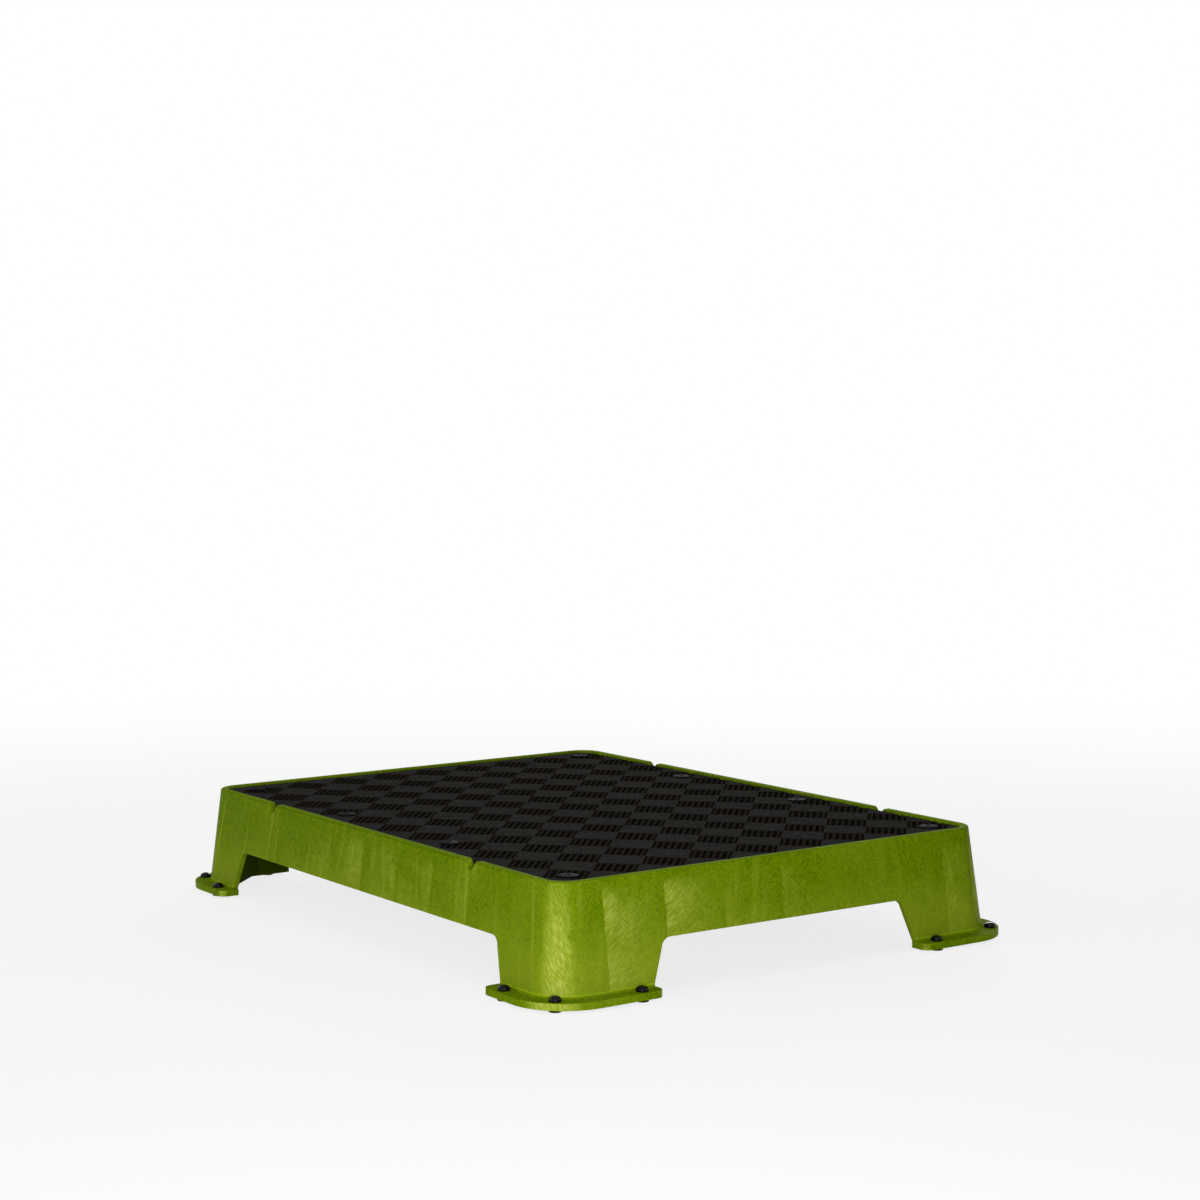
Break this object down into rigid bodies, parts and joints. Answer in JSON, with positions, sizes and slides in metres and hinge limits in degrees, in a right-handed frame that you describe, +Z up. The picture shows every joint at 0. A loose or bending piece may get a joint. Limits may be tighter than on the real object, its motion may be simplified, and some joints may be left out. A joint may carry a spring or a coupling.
{
  "type": "dog place board",
  "caption": "Low moulded platform on angled legs with lipped feet, rim notches, a rubber mat in its well and push-in bumpers, for a dog to stand or lie on.",
  "frame": {"origin": "on the floor, below the middle of the board", "axes": "+Z up, +Y along the board's length, +X across it; the short front wall faces -Y"},
  "size_m": [0.569, 0.7646, 0.1118],
  "materials": {
    "board_plastic": "lime green, satin, finely brushed",
    "mat_rubber": "black, ribbed diamond tread",
    "rivet_plastic": "black, semi-gloss",
    "bumper_rubber": "black, glossy"
  },
  "bodies": {
    "root": {"deck": "board_plastic", "wall_front": "board_plastic", "wall_back": "board_plastic", "wall_left": "board_plastic", "wall_right": "board_plastic", "leg_front_left": "board_plastic", "leg_front_right": "board_plastic", "leg_back_left": "board_plastic", "leg_back_right": "board_plastic", "deck_rib_1": "board_plastic", "deck_rib_2": "board_plastic", "deck_rib_3": "board_plastic", "deck_rib_4": "board_plastic", "deck_rib_5": "board_plastic", "deck_rib_6": "board_plastic", "deck_rib_7": "board_plastic", "deck_rib_8": "board_plastic", "mat": "mat_rubber", "mat_rivet_left_1": "rivet_plastic", "mat_rivet_left_2": "rivet_plastic", "mat_rivet_left_3": "rivet_plastic", "mat_rivet_left_4": "rivet_plastic", "mat_rivet_right_1": "rivet_plastic", "mat_rivet_right_2": "rivet_plastic", "mat_rivet_right_3": "rivet_plastic", "mat_rivet_right_4": "rivet_plastic", "bumper_front_left_corner": "bumper_rubber", "bumper_front_left_end": "bumper_rubber", "bumper_front_left_side": "bumper_rubber", "bumper_front_right_corner": "bumper_rubber", "bumper_front_right_end": "bumper_rubber", "bumper_front_right_side": "bumper_rubber", "bumper_back_left_corner": "bumper_rubber", "bumper_back_left_end": "bumper_rubber", "bumper_back_left_side": "bumper_rubber", "bumper_back_right_corner": "bumper_rubber", "bumper_back_right_end": "bumper_rubber", "bumper_back_right_side": "bumper_rubber"}
  },
  "joints": []
}
